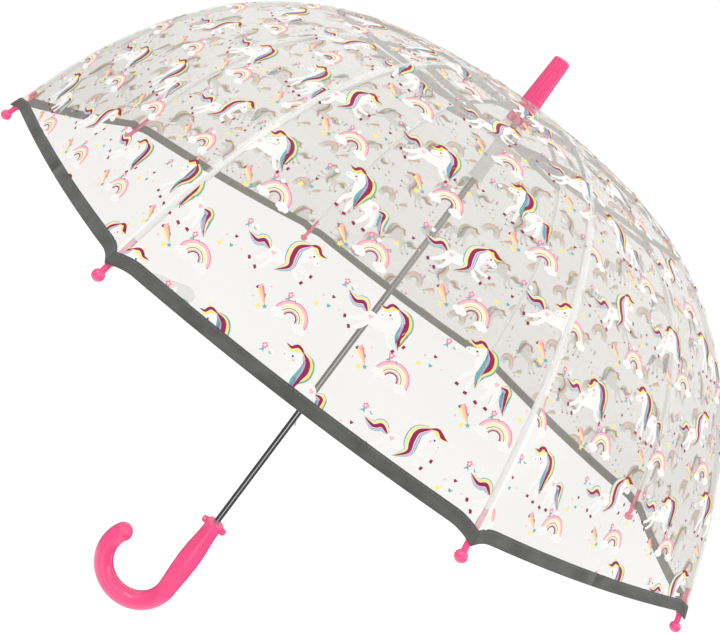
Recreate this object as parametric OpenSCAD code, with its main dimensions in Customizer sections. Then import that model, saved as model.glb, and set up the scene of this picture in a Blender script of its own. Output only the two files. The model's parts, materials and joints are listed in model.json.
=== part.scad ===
// Children's dome umbrella, drawn open. The shaft runs along Z with the ferrule up, and the
// origin is where a hand holds the grip. The hook of the handle points to -X.
// Millimetres. Every rib is drawn in the XZ plane and then turned to its own direction.

/* [Canopy] */
// Radius over the ends of the ribs
canopy_r = 360; // [340:5:380]
// Height of the crown above the ends of the ribs
dome_rise = 248; // [235:1:260]
// How far out the crown stays level before it curves down
crown_reach = 176; // [160:2:190]
// Radius where the skirt of the dome starts to fall towards the hem
skirt_r = 290; // [280:2:300]
// Height above the hem where the skirt of the dome starts to fall
skirt_rise = 199; // [185:1:210]
// Thickness of the film
film_t = 0.6; // [0.4:0.1:0.8]
// How round the film is between two ribs, from 0 for flat to 1 for a circle
film_bulge = 0.3; // [0.1:0.05:0.6]
// How far the hem hangs below the rib ends in the middle of a panel
hem_sag = 3.7; // [0:0.1:6]
// Width of the tape round the hem
tape_w = 9.5; // [8:0.5:12]
// Thickness that the tape adds on each side of the film
tape_t = 0.5; // [0.3:0.1:0.7]
// Height of the hem above the middle of the grip
hem_z = 283; // [275:1:290]

/* [Shaft] */
// Diameter of the steel tube
shaft_d = 6; // [5.6:0.2:6.4]
// Wall of the steel tube
shaft_wall = 0.4; // [0.3:0.05:0.5]
// Length of the ferrule above the film
ferrule_len = 48; // [40:1:56]
// Diameter of the ferrule at its foot
ferrule_foot_d = 18.8; // [17:0.2:20]
// Diameter of the ferrule at its free end
ferrule_d = 15.4; // [14:0.2:16.6]
// Number of flutes round the ferrule
ferrule_flutes = 14; // [10:1:18]

/* [Notch and runner] */
// Radius of the wire ring that the ribs turn on
notch_ring_r = 7; // [6.8:0.1:7.4]
// Depth of the notch's wire ring below the crown
notch_ring_drop = 12; // [11:0.5:13]
// Radius of the wire ring that the stretchers turn on
runner_ring_r = 8.5; // [8.2:0.1:9]
// Depth of the runner's wire ring below the notch's, with the umbrella open
runner_ring_drop = 22; // [20:0.5:26]
// Diameter of the runner's sleeve
runner_d = 12.8; // [12.4:0.2:14]
// Length of the runner below its wire ring
runner_len = 44; // [36:1:48]

/* [Ribs and stretchers] */
// Thickness of a rib across its plane
rib_w = 2.4; // [2:0.1:2.6]
// Height of a rib in its plane
rib_h = 3; // [2.6:0.1:3.2]
// Depth of a rib's centre line below the outside of the film
rib_depth = 3.2; // [3:0.1:3.6]
// Place of the stretcher's pivot along the dome, from 0 at the crown to 1 at the hem
pivot_share = 0.41; // [0.4:0.005:0.42]
// Thickness of each prong of the stretcher's fork
prong_t = 0.5; // [0.4:0.1:0.6]
// Height of the stretcher's fork
prong_h = 4; // [3.6:0.1:4.4]
// Distance from the hem to the middle of the ball on a rib's end
ball_reach = 12.8; // [11:0.2:15]
// Diameter of the ball on a rib's end
ball_d = 8.4; // [7.6:0.2:9]

/* [Closing strap] */
// Distance along the hem from the rib to the strap
strap_from = 26; // [20:1:40]
// How far the strap reaches along the hem
strap_reach = 28; // [20:1:60]
// How far the strap climbs from the hem over its length
strap_rise = 10; // [4:1:30]
// Width of the strap
strap_w = 12; // [8:1:16]

/* [Handle] */
// Length of the grip from its collar to the start of the hook
grip_len = 86; // [80:1:92]
// Diameter of the grip at its thickest
grip_d = 22.4; // [21:0.2:24]
// Radius of the hook's centre line
hook_r = 36.3; // [34:0.1:38]
// Diameter of the hook's tube
hook_d = 19.2; // [18:0.2:20]
// Angle that the hook turns through
hook_angle = 209; // [190:1:212]
// Diameter of the hole in the lanyard eye
eye_d = 2.2; // [2:0.1:2.6]

/* [Hidden] */
RIBS = 8;
STEP = 360 / RIBS;
// Direction of the first rib, so that the hook lies midway between two ribs
FIRST = STEP / 2;
FINE = 48;
// Number of the rib that the closing strap is sewn beside
STRAP_RIB = 6;
// Gap between a turning part and the slot that it turns in, on each side
SLOT_GAP = 0.3;
// Gap round a part that slides or is pushed onto the shaft
FIT_GAP = 0.04;
WIRE_R = 0.6;
// Width of a stretcher's single bar across its plane
STRETCHER_W = 2.2;
EYE_R = 1.9;
EYE_HOLE_R = 0.95;
// Gap between two neighbouring sheets of film
SEAM_GAP = 0.5;
// Rib bend, where the outer rib's round end sits in the inner rib's hollow end
BEND_GAP = 0.3;

pink = "#f5608f";
film_grey = [0.9, 0.89, 0.88, 0.35];

crown_z = hem_z + dome_rise;
notch_ring_z = crown_z - notch_ring_drop;
runner_ring_z = notch_ring_z - runner_ring_drop;
runner_bottom_z = runner_ring_z - runner_len;
ferrule_z = crown_z + 1;
grip_top_z = 43;
hook_z = grip_top_z - grip_len;
shaft_r = shaft_d / 2;
bore_r = shaft_r + FIT_GAP;
// Where the shaft's two ends lie, inside the grip and inside the ferrule
shaft_bottom_z = hook_z + 20;
shaft_top_z = ferrule_z + 34;
SHAFT_END_GAP = 0.5;
half_step_chord = 2 * sin(STEP / 2);

// The dome's outside, from the crown to the hem, as (radius, height)
DOME = [[0, crown_z], [crown_reach, crown_z], [skirt_r, hem_z + skirt_rise], [canopy_r, hem_z]];
// Where along the dome the film starts beside the crown washer, and where the tape starts
CROWN_R = 16;
film_start = (CROWN_R + SEAM_GAP) / (3 * crown_reach);
tape_start = 1 - tape_w / (3 * norm(DOME[3] - DOME[2]));

function unit(v) = v / norm(v);
function bezier(p, u) =
    pow(1 - u, 3) * p[0] + 3 * u * pow(1 - u, 2) * p[1] + 3 * u * u * (1 - u) * p[2]
    + pow(u, 3) * p[3];
function heading(p, u) =
    unit(pow(1 - u, 2) * (p[1] - p[0]) + 2 * u * (1 - u) * (p[2] - p[1]) + u * u * (p[3] - p[2]));
function left_of(d) = [-d[1], d[0]];
// A point that lies a given depth under the outside of the dome
function under_dome(u, depth) = bezier(DOME, u) - depth * left_of(heading(DOME, u));

notch_pin = [notch_ring_r, notch_ring_z];
runner_pin = [runner_ring_r, runner_ring_z];
pivot = under_dome(pivot_share, rib_depth);
pivot_heading = heading(DOME, pivot_share);
BEND_R = rib_h / 2 + 0.1;
rib_end = under_dome(1, rib_depth);
hem_heading = heading(DOME, 1);
INNER_RIB = [notch_pin, notch_pin + [55, 9], pivot - 60 * pivot_heading, pivot];
stretcher_len = norm(pivot - runner_pin);
stretcher_tilt = atan2(pivot[1] - runner_pin[1], pivot[0] - runner_pin[0]);
// The runner's ring, once the inner ribs and the stretchers lie along the shaft
FOLDED_R = 12;
folded_pivot_z = notch_ring_z
    - sqrt(pow(norm(pivot - notch_pin), 2) - pow(FOLDED_R - notch_ring_r, 2));
folded_ring_z = folded_pivot_z
    - sqrt(pow(stretcher_len, 2) - pow(FOLDED_R - runner_ring_r, 2));

// Draws its children in the plane of rib number k
module at_rib(k) {
    rotate([0, 0, FIRST + (k - 1) * STEP]) children();
}

// Turns a flat outline in (radius, height) into a plate that is w thick across the rib's plane
module plate(w) {
    rotate([90, 0, 0]) linear_extrude(w, center = true) children();
}

// A bar that follows a curve, as an outline in (radius, height)
module curved_bar(centres, headings, h) {
    last = len(centres) - 1;
    top = [for (i = [0 : last]) centres[i] + h / 2 * left_of(headings[i])];
    bottom = [for (i = [last : -1 : 0]) centres[i] - h / 2 * left_of(headings[i])];
    polygon(concat(top, bottom));
}

module wire_ring(r, z, wire_r) {
    translate([0, 0, z]) rotate_extrude($fn = FINE) translate([r, 0]) circle(wire_r, $fn = 16);
}

// One slot for each rib, open to the outside, from z_low to z_high
module rib_slots(w, inner_r, z_low, z_high) {
    for (k = [1 : RIBS])
        at_rib(k) translate([inner_r, -w / 2, z_low]) cube([20, w, z_high - z_low]);
}

// Where the catch blades and the windows for their teeth lie in the shaft
BLADE_LEN = 16;
TOOTH_LEN = 8;
TOOTH_OUT = 2.2;
BLADE_W = 1.2;
WINDOW_END = 0.8;
// Height of the runner's head above its wire ring, and depth below it
HEAD_UP = 5.5;
HEAD_DOWN = 5;
// Gap between a tooth and the end of the runner that it stops
CATCH_GAP = 0.4;
top_catch_z = runner_bottom_z - CATCH_GAP;
bottom_catch_z = folded_ring_z + HEAD_UP + CATCH_GAP;

module shaft() {
    window_w = BLADE_W + 0.6;
    color("silver") difference() {
        translate([0, 0, shaft_bottom_z])
            cylinder(h = shaft_top_z - shaft_bottom_z, r = shaft_r, $fn = FINE);
        translate([0, 0, shaft_bottom_z - 1])
            cylinder(h = shaft_top_z - shaft_bottom_z + 2, r = shaft_r - shaft_wall, $fn = FINE);
        for (low = [top_catch_z - TOOTH_LEN - WINDOW_END, bottom_catch_z - WINDOW_END])
            translate([0, -window_w / 2, low])
                cube([2 * shaft_r, window_w, TOOTH_LEN + 2 * WINDOW_END]);
    }
}

// A blade inside the shaft with a tooth that stands out of the window, its stop face at the top
module catch_blade() {
    color("silver") plate(BLADE_W) {
        translate([0.1, -BLADE_LEN]) square([0.9, BLADE_LEN]);
        polygon([[1, -TOOTH_LEN], [shaft_r + TOOTH_OUT, -0.8], [shaft_r + TOOTH_OUT, 0], [1, 0]]);
    }
}

module top_catch() {
    translate([0, 0, top_catch_z]) catch_blade();
}

module bottom_catch() {
    translate([0, 0, bottom_catch_z]) mirror([0, 0, 1]) catch_blade();
}

module ferrule() {
    foot_r = ferrule_foot_d / 2;
    end_r = ferrule_d / 2;
    plain_foot = 3;
    flute_r = 0.7;
    // How far the middle of a flute lies outside the ferrule
    flute_out = 0.35;
    rim = 1.2;
    crown_rise = 0.8;
    top_z = ferrule_z + ferrule_len;
    taper = atan2(foot_r - end_r, ferrule_len);
    color(pink) difference() {
        rotate_extrude($fn = FINE) polygon([
            [bore_r, ferrule_z], [foot_r, ferrule_z], [end_r, top_z - rim - crown_rise],
            [end_r - 0.3 * rim, top_z - 0.4 * rim - crown_rise], [end_r - rim, top_z - crown_rise],
            [end_r / 2, top_z - 0.2 * crown_rise], [0, top_z],
            [0, shaft_top_z + SHAFT_END_GAP], [bore_r, shaft_top_z + SHAFT_END_GAP]
        ]);
        for (i = [1 : ferrule_flutes])
            rotate([0, 0, i * 360 / ferrule_flutes])
                translate([foot_r + flute_out, 0, ferrule_z]) rotate([0, -taper, 0])
                    translate([0, 0, plain_foot]) cylinder(h = ferrule_len, r = flute_r, $fn = 24);
    }
}

module top_notch() {
    hub_r = 10.5;
    core_r = 4.9;
    bottom_z = notch_ring_z - 7;
    slot_top = notch_ring_z + 4.2;
    cap_z = slot_top + 1.2;
    color(pink) difference() {
        union() {
            translate([0, 0, bottom_z]) cylinder(h = cap_z - bottom_z, r = hub_r, $fn = FINE);
            translate([0, 0, bottom_z])
                cylinder(h = crown_z - 0.8 - bottom_z, r = hub_r - 1.5, $fn = FINE);
        }
        translate([0, 0, bottom_z - 1])
            cylinder(h = ferrule_z - bottom_z, r = bore_r, $fn = FINE);
        rib_slots(rib_w + 2 * SLOT_GAP, core_r, bottom_z - 1, slot_top);
        wire_ring(notch_ring_r, notch_ring_z, WIRE_R + 0.02);
    }
}

module notch_wire() {
    color("silver") wire_ring(notch_ring_r, notch_ring_z, WIRE_R);
}

module runner() {
    head_r = 10.6;
    core_r = 6.3;
    key_w = BLADE_W + 1.2;
    flange_h = 3;
    color("white") difference() {
        union() {
            translate([0, 0, runner_bottom_z])
                cylinder(h = runner_len, r = runner_d / 2, $fn = FINE);
            translate([0, 0, runner_bottom_z])
                cylinder(h = flange_h, r = runner_d / 2 + 1, $fn = FINE);
            translate([0, 0, runner_ring_z - HEAD_DOWN])
                cylinder(h = HEAD_DOWN + HEAD_UP, r = head_r, $fn = FINE);
        }
        translate([0, 0, runner_bottom_z - 1])
            cylinder(h = runner_len + 10, r = bore_r, $fn = FINE);
        translate([0, -key_w / 2, runner_bottom_z - 1])
            cube([shaft_r + TOOTH_OUT + 0.4, key_w, runner_len + 10]);
        rib_slots(STRETCHER_W + 2 * SLOT_GAP, core_r, runner_ring_z - 2.6,
            runner_ring_z + HEAD_UP + 1);
        wire_ring(runner_ring_r, runner_ring_z, WIRE_R + 0.02);
    }
}

module runner_wire() {
    color("silver") wire_ring(runner_ring_r, runner_ring_z, WIRE_R);
}

// A round across the rib's plane, at a place in (radius, height)
module round(at, r, w) {
    translate([at[0], 0, at[1]]) rotate([90, 0, 0]) cylinder(h = w, r = r, center = true, $fn = 32);
}

module inner_rib(k) {
    steps = 14;
    along = [for (i = [0 : steps]) i / steps];
    color("silver") at_rib(k) difference() {
        union() {
            plate(rib_w) curved_bar([for (u = along) bezier(INNER_RIB, u)],
                [for (u = along) heading(INNER_RIB, u)], rib_h);
            round(notch_pin, EYE_R, rib_w);
        }
        round(notch_pin, EYE_HOLE_R, 2 * rib_w);
        round(pivot, BEND_R + BEND_GAP, 2 * rib_w);
    }
}

module outer_rib(k) {
    steps = 18;
    along = [for (i = [0 : steps]) pivot_share + (1 - pivot_share) * i / steps];
    color("white") at_rib(k) {
        plate(rib_w) curved_bar([for (u = along) under_dome(u, rib_depth)],
            [for (u = along) heading(DOME, u)], rib_h);
        round(pivot, BEND_R, rib_w);
    }
}

// A bar from the runner's ring that splits into a fork, whose prongs lie beside the rib
module stretcher(k) {
    split = 0.42 * stretcher_len;
    prong_y = rib_w / 2 + 0.4;
    width = 2 * (prong_y + prong_t);
    color("gray") at_rib(k) translate([runner_pin[0], 0, runner_pin[1]])
        rotate([0, -stretcher_tilt, 0]) {
            plate(STRETCHER_W) difference() {
                union() {
                    circle(EYE_R, $fn = 32);
                    translate([0, -rib_h / 2]) square([split, rib_h]);
                }
                circle(EYE_HOLE_R, $fn = 32);
            }
            translate([split - 6, -width / 2, -prong_h / 2]) cube([6, width, prong_h]);
            for (side = [-1, 1]) translate([0, side * (prong_y + prong_t / 2), 0]) {
                plate(prong_t) {
                    translate([split, -prong_h / 2]) square([stretcher_len - split, prong_h]);
                    translate([stretcher_len, 0]) circle(prong_h / 2, $fn = 32);
                }
                translate([stretcher_len, side * (prong_t / 2 + 0.2), 0]) rotate([90, 0, 0])
                    cylinder(h = 0.4, r = 1.4, center = true, $fn = 32);
            }
        }
}

module rib_tip(k) {
    neck_r = 2.1;
    color(pink) at_rib(k) translate([rib_end[0], 0, rib_end[1]])
        rotate([0, atan2(hem_heading[0], hem_heading[1]), 0]) {
            cylinder(h = ball_reach, r = neck_r, $fn = 32);
            cylinder(h = 3, r = neck_r + 0.6, $fn = 32);
            translate([0, 0, ball_reach]) sphere(ball_d / 2, $fn = FINE);
        }
}

// A point of the film over rib 1, drawn in the XZ plane: u runs down the dome, and side from -1
// to 1 across the sheet, which reaches halfway to the ribs on both sides
function film_point(u, side, depth) =
    let (
        at = under_dome(u, depth),
        share = abs(side) * (0.5 - SEAM_GAP / 2 / (half_step_chord * at[0])),
        chord = [1 - share + share * cos(STEP), sign(side) * share * sin(STEP)],
        round = 1 + film_bulge * (1 / norm(chord) - 1),
        sag = hem_sag * 4 * share * (1 - share) * pow(u, 4)
    )
    [at[0] * chord[0] * round, at[0] * chord[1] * round, at[1] - sag];

// A closed sheet in the film's surface. place(a, b), with a and b from 0 to 1, gives the point's
// place as [u, side] for film_point
module film_sheet(place, rows, columns, outer_depth, inner_depth) {
    wide = columns + 1;
    layer = (rows + 1) * wide;
    points = [for (depth = [outer_depth, inner_depth]) for (i = [0 : rows]) for (j = [0 : columns])
        let (p = place(i / rows, j / columns)) film_point(p[0], p[1], depth)];
    skins = [for (i = [0 : rows - 1]) for (j = [0 : columns - 1])
        let (a = i * wide + j, b = a + 1, c = a + wide, d = c + 1)
        each [[a, b, d], [a, d, c], [layer + a, layer + d, layer + b],
            [layer + a, layer + c, layer + d]]];
    ends = [for (j = [0 : columns - 1])
        let (a = j, c = rows * wide + j)
        each [[a, layer + a, layer + a + 1], [a, layer + a + 1, a + 1],
            [c, c + 1, layer + c + 1], [c, layer + c + 1, layer + c]]];
    sides = [for (i = [0 : rows - 1])
        let (a = i * wide, b = a + columns)
        each [[a, a + wide, layer + a + wide], [a, layer + a + wide, layer + a],
            [b, layer + b, layer + b + wide], [b, layer + b + wide, b + wide]]];
    polyhedron(points, concat(skins, ends, sides), convexity = 4);
}

module canopy_film(k) {
    color(film_grey) at_rib(k)
        film_sheet(function (a, b) [film_start + (tape_start - film_start) * a, 2 * b - 1],
            14, 8, 0, film_t);
}

module hem_tape(k) {
    color("dimgray") at_rib(k)
        film_sheet(function (a, b) [tape_start + (1 - tape_start) * a, 2 * b - 1],
            1, 8, -tape_t, film_t + tape_t);
}

// A strap of film that holds the closed umbrella. It is sewn to the tape inside one panel, and
// lies nearly along the hem with its free end a little higher
module closing_strap() {
    // Overlap of the strap's foot with the tape, and its gap below the tape's inner face
    sewn = 5;
    gap = 0.3;
    hem_rate = 3 * norm(DOME[3] - DOME[2]);
    half_panel = canopy_r * sin(STEP / 2);
    outer_depth = film_t + tape_t + gap;
    along = unit([strap_reach, strap_rise]);
    color(film_grey) at_rib(STRAP_RIB)
        film_sheet(function (a, b)
            let (across = strap_w * b * left_of(along))
            [1 - (tape_w - sewn + strap_rise * a + across[1]) / hem_rate,
                (strap_from + strap_reach * a + across[0]) / half_panel],
            6, 2, outer_depth, outer_depth + film_t);
}

module crown_washer() {
    color(film_grey) translate([0, 0, crown_z - film_t]) difference() {
        cylinder(h = film_t, r = CROWN_R, $fn = FINE);
        translate([0, 0, -1]) cylinder(h = 3, r = bore_r, $fn = FINE);
    }
}

module handle() {
    collar_h = 7;
    neck_r = grip_d / 2 - 2.2;
    ear_x = 10.5;
    ear_r = 3.2;
    ear_t = 3;
    ear_z = grip_top_z - 4;
    color(pink) difference() {
        union() {
            rotate_extrude($fn = FINE) polygon([
                [0, grip_top_z], [neck_r - 0.6, grip_top_z], [neck_r + 0.5, grip_top_z - 1.2],
                [neck_r + 0.5, grip_top_z - collar_h + 1], [neck_r - 0.3, grip_top_z - collar_h],
                [neck_r, grip_top_z - 0.2 * grip_len],
                [grip_d / 2 - 0.5, grip_top_z - 0.4 * grip_len],
                [grip_d / 2, grip_top_z - 0.56 * grip_len],
                [grip_d / 2 - 0.4, grip_top_z - 0.75 * grip_len], [hook_d / 2, hook_z], [0, hook_z]
            ]);
            translate([-hook_r, 0, hook_z]) rotate([-90, 0, 0])
                rotate_extrude(angle = hook_angle, $fn = 2 * FINE)
                    translate([hook_r, 0]) circle(hook_d / 2, $fn = FINE);
            translate([hook_r * (cos(hook_angle) - 1), 0, hook_z - hook_r * sin(hook_angle)])
                sphere(hook_d / 2 - 0.05, $fn = FINE);
            for (side = [-1, 1]) translate([side * ear_x, 0, ear_z]) rotate([90, 0, 0])
                cylinder(h = ear_t, r = ear_r, center = true, $fn = FINE);
        }
        translate([0, 0, shaft_bottom_z - SHAFT_END_GAP])
            cylinder(h = grip_len, r = bore_r, $fn = FINE);
        translate([-ear_x - 0.8, 0, ear_z]) rotate([90, 0, 0])
            cylinder(h = 2 * ear_t, d = eye_d, center = true, $fn = FINE);
    }
}

shaft();
ferrule();
top_notch();
notch_wire();
runner();
runner_wire();
top_catch();
bottom_catch();
handle();
crown_washer();
closing_strap();
for (k = [1 : RIBS]) {
    inner_rib(k);
    outer_rib(k);
    stretcher(k);
    rib_tip(k);
    canopy_film(k);
    hem_tape(k);
}
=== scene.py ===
"""The looks of the children's dome umbrella: its clear printed film, woven hem tape, seams,
moulded plastic and plated steel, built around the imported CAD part. Metres, in the CAD's frame."""

import bpy
import bmesh
import json
import math
from math import cos, pi, radians, sin, tau

import numpy as np
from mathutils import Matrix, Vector


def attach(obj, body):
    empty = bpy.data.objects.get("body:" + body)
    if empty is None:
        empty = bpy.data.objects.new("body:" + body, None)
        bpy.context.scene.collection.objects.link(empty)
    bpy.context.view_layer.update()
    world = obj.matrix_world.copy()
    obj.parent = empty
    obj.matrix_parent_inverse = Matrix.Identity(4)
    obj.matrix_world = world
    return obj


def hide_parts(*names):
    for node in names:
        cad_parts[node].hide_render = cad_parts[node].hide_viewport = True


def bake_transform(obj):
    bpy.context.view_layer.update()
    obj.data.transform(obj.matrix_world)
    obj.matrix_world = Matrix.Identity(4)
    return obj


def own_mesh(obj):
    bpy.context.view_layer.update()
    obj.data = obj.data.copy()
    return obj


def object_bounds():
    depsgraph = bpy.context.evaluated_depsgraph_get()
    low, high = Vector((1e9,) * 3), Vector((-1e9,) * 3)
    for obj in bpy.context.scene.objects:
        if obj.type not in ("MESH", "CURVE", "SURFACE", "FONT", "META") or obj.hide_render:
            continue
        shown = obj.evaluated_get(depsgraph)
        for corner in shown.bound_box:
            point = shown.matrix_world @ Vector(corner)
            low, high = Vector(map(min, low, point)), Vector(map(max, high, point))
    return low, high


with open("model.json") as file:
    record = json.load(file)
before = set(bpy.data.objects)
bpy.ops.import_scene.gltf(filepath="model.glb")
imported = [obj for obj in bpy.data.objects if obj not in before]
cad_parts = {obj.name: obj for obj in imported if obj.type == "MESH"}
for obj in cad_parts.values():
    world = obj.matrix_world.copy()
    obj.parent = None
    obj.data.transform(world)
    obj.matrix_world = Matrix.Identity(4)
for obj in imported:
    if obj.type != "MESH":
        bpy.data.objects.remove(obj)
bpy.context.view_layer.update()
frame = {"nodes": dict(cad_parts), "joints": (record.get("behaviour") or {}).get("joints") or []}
nodes = frame["nodes"]
joints = {j["name"]: j for j in frame["joints"]}
MM = 0.001

# ------------ camera, stage and light

CAMERA_PLACE = (0.0289, -0.9134, 0.4479)
CAMERA_TURN_DEG = (76.90, -35.67, 12.34)
CAMERA_LENS_MM = 50.05
CAMERA_SHIFT = (0.056, -0.0176)


def new_object(name, data):
    made = bpy.data.objects.new(name, data)
    bpy.context.scene.collection.objects.link(made)
    return made


def make_camera():
    data = bpy.data.cameras.new("camera")
    data.lens = CAMERA_LENS_MM
    data.shift_x, data.shift_y = CAMERA_SHIFT
    camera = new_object("camera", data)
    camera.location = CAMERA_PLACE
    camera.rotation_euler = [radians(a) for a in CAMERA_TURN_DEG]
    bpy.context.scene.camera = camera


def area_light(name, place, size, power):
    """A softbox at a place, turned towards the umbrella."""
    data = bpy.data.lights.new(name, "AREA")
    data.shape = "RECTANGLE"
    data.size, data.size_y = size
    data.energy = power
    light = new_object(name, data)
    light.location = place
    light.rotation_euler = (LIGHT_AIM - Vector(place)).to_track_quat("-Z", "Y").to_euler()


# Direction, half angle and soft edge in degrees of each softbox that shiny surfaces see
SOFTBOXES = [((0.12, -1, -0.2), 13, 8), ((0, 0, 1), 64, 16), ((0, 0, -1), 45, 15),
             ((1, 0.5, 0), 10, 8)]
# Strength of the dark gaps between them
GAP_LEVEL = 0.10
# Strength of the backdrop that all other surfaces and the camera see
BACKDROP_LEVEL = 1.06


def make_world():
    """A white studio. Shiny surfaces see softboxes in front, overhead and at the back, and dark
    gaps between them, so that plated tube and film show their form."""
    world = bpy.data.worlds.new("studio")
    world.use_nodes = True
    tree = world.node_tree
    tree.nodes.clear()

    def add(kind, *inputs, **settings):
        node = tree.nodes.new(kind)
        for name, value in settings.items():
            setattr(node, name, value)
        for i, value in enumerate(inputs):
            if isinstance(value, bpy.types.NodeSocket):
                tree.links.new(value, node.inputs[i])
            else:
                node.inputs[i].default_value = value
        return node

    place = add("ShaderNodeTexCoord")

    def softbox(direction, spread, edge):
        """1 inside a cone round a direction, falling to 0 over a soft edge."""
        facing = add("ShaderNodeVectorMath", place.outputs["Generated"],
                     tuple(Vector(direction).normalized()), operation="DOT_PRODUCT")
        low, high = cos(radians(spread + edge)), cos(radians(spread))
        return add("ShaderNodeMapRange", facing.outputs["Value"], low, high, 0.0, 1.0).outputs[0]

    boxes = [softbox(*box) for box in SOFTBOXES]
    bright = boxes[0]
    for box in boxes[1:]:
        bright = add("ShaderNodeMath", bright, box, operation="MAXIMUM",
                     use_clamp=True).outputs[0]
    level = add("ShaderNodeMapRange", bright, 0.0, 1.0, GAP_LEVEL, 1.0).outputs[0]
    rays = add("ShaderNodeLightPath")
    strength = add("ShaderNodeMix", rays.outputs["Is Glossy Ray"], data_type="FLOAT")
    strength.inputs["A"].default_value = BACKDROP_LEVEL
    tree.links.new(level, strength.inputs["B"])
    background = add("ShaderNodeBackground", (1, 1, 1, 1), strength.outputs["Result"])
    output = add("ShaderNodeOutputWorld")
    tree.links.new(background.outputs[0], output.inputs["Surface"])
    bpy.context.scene.world = world


FLOOR_HALF = 6.0
FLOOR_DROP = 150 * MM
LIGHT_AIM = Vector((0, 0, 0.36))
# Name, place, size and power in watts of each light
LIGHTS = [("key", (-1.3, -1.5, 2.0), (0.5, 1.4), 10), ("rim", (1.8, -0.2, 1.5), (0.3, 1.6), 8)]


def make_stage():
    """A plain pale floor under the handle, and soft light from above. Shiny surfaces don't see
    the floor, so that the shaft keeps its dark edges."""
    floor_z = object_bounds()[0][2] - FLOOR_DROP
    mesh = bpy.data.meshes.new("floor")
    corners = [(-1, -1), (1, -1), (1, 1), (-1, 1)]
    mesh.from_pydata([(x * FLOOR_HALF, y * FLOOR_HALF, floor_z) for x, y in corners], [],
                     [(0, 1, 2, 3)])
    floor = new_object("floor", mesh)
    paint = new_material("floor_white", (0.98,) * 3, 1.0, Specular_IOR_Level=0.0)
    vary(paint, "Base Color", (0.975,) * 3, (0.99,) * 3, 3.0)
    mesh.materials.append(paint.material)
    floor.visible_glossy = False
    bpy.context.scene.view_settings.view_transform = "Standard"
    for light in LIGHTS:
        area_light(*light)


# ------------ materials

WHITE_PLASTIC = (0.7, 0.7, 0.69)
PLATED = (0.62, 0.62, 0.63)
RIB_PAINT = (0.62,) * 3
FIBRE = (0.80, 0.80, 0.79)
TAPE_COLOR = (0.09, 0.09, 0.087)
THREAD_COLOR = (0.19,) * 3
# Threads of the weave per unit of its wave texture
WEAVE_SCALE = 1200.0
PINK = (0.91, 0.082, 0.255)
INKS = {
    "white": (0.39, 0.385, 0.373),
    "maroon": (0.216, 0.008, 0.056),
    "dark": (0.04, 0.0064, 0.016),
    "yellow": (0.688, 0.544, 0.136),
    "peach": (0.672, 0.36, 0.176),
    "cream": (0.672, 0.616, 0.448),
    "teal": (0.104, 0.288, 0.296),
    "green": (0.128, 0.24, 0.16),
    "lavender": (0.336, 0.272, 0.416),
    "pink": (0.592, 0.128, 0.24),
    "blush": (0.672, 0.352, 0.384),
    "mauve": (0.416, 0.352, 0.368),
}
FILM_COLOR = (0.18, 0.17, 0.147)
SEAM_COLOR = (0.29, 0.288, 0.275)
# For one face of a sheet: light passes two
FILM_ALPHA = 0.18
SEAM_ALPHA = 0.30
# Painted glow: film and ink emit light, as a multiple of their colour, which stands in for light
# that comes through them from behind
FILM_PAINTED_GLOW = 1.9
INK_PAINTED_GLOW = 0.42
WHITE_INK_PAINTED_GLOW = 1.25


class Shader:
    """A material's node tree, with its Principled shader at hand."""

    def __init__(self, material):
        self.material = material
        self.nodes = material.node_tree.nodes
        self.links = material.node_tree.links
        self.principled = self.nodes["Principled BSDF"]

    def add(self, kind, **settings):
        node = self.nodes.new(kind)
        for name, value in settings.items():
            if name in node.inputs:
                node.inputs[name].default_value = value
            else:
                setattr(node, name, value)
        return node

    def link(self, source, target):
        self.links.new(source, target)


def new_material(name, color, roughness, **sockets):
    material = bpy.data.materials.new(name)
    material.use_nodes = True
    shader = Shader(material)
    shader.principled.inputs["Base Color"].default_value = (*color, 1)
    shader.principled.inputs["Roughness"].default_value = roughness
    for socket, value in sockets.items():
        shader.principled.inputs[socket.replace("_", " ")].default_value = value
    return shader


def scale_and_add(shader, value, factor, other):
    node = shader.add("ShaderNodeMath", operation="MULTIPLY_ADD")
    node.inputs[1].default_value = factor
    shader.link(value, node.inputs[0])
    shader.link(other, node.inputs[2])
    return node.outputs["Value"]


def texture_place(shader, scale, use_uv=False):
    """Texture coordinates in metres, stretched by scale."""
    place = shader.add("ShaderNodeTexCoord")
    stretch = shader.add("ShaderNodeMapping")
    stretch.inputs["Scale"].default_value = scale
    shader.link(place.outputs["UV" if use_uv else "Object"], stretch.inputs["Vector"])
    return stretch.outputs["Vector"]


def add_noise(shader, scale, detail=4.0, stretch=(1, 1, 1), use_uv=False):
    noise = shader.add("ShaderNodeTexNoise", Scale=scale, Detail=detail)
    shader.link(texture_place(shader, stretch, use_uv), noise.inputs["Vector"])
    return noise.outputs["Fac"]


def ramp(shader, value, low, high, first=0.3, last=0.7):
    node = shader.add("ShaderNodeValToRGB")
    for element, position, color in zip(node.color_ramp.elements, (first, last), (low, high)):
        element.position = position
        element.color = (*color, 1)
    shader.link(value, node.inputs["Fac"])
    return node.outputs["Color"]


def vary(shader, socket, low, high, scale, **noise):
    """Lets noise carry a socket from one colour to another."""
    shader.link(ramp(shader, add_noise(shader, scale, **noise), low, high),
                shader.principled.inputs[socket])


def add_bump(shader, height, depth, strength=1.0):
    bump = shader.add("ShaderNodeBump", Strength=strength, Distance=depth)
    shader.link(height, bump.inputs["Height"])
    shader.link(bump.outputs["Normal"], shader.principled.inputs["Normal"])


def shades(color, spread):
    """A slightly darker and a slightly lighter shade of a colour."""
    return (tuple(c * (1 - spread) for c in color), tuple(min(1, c * (1 + spread)) for c in color))


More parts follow.
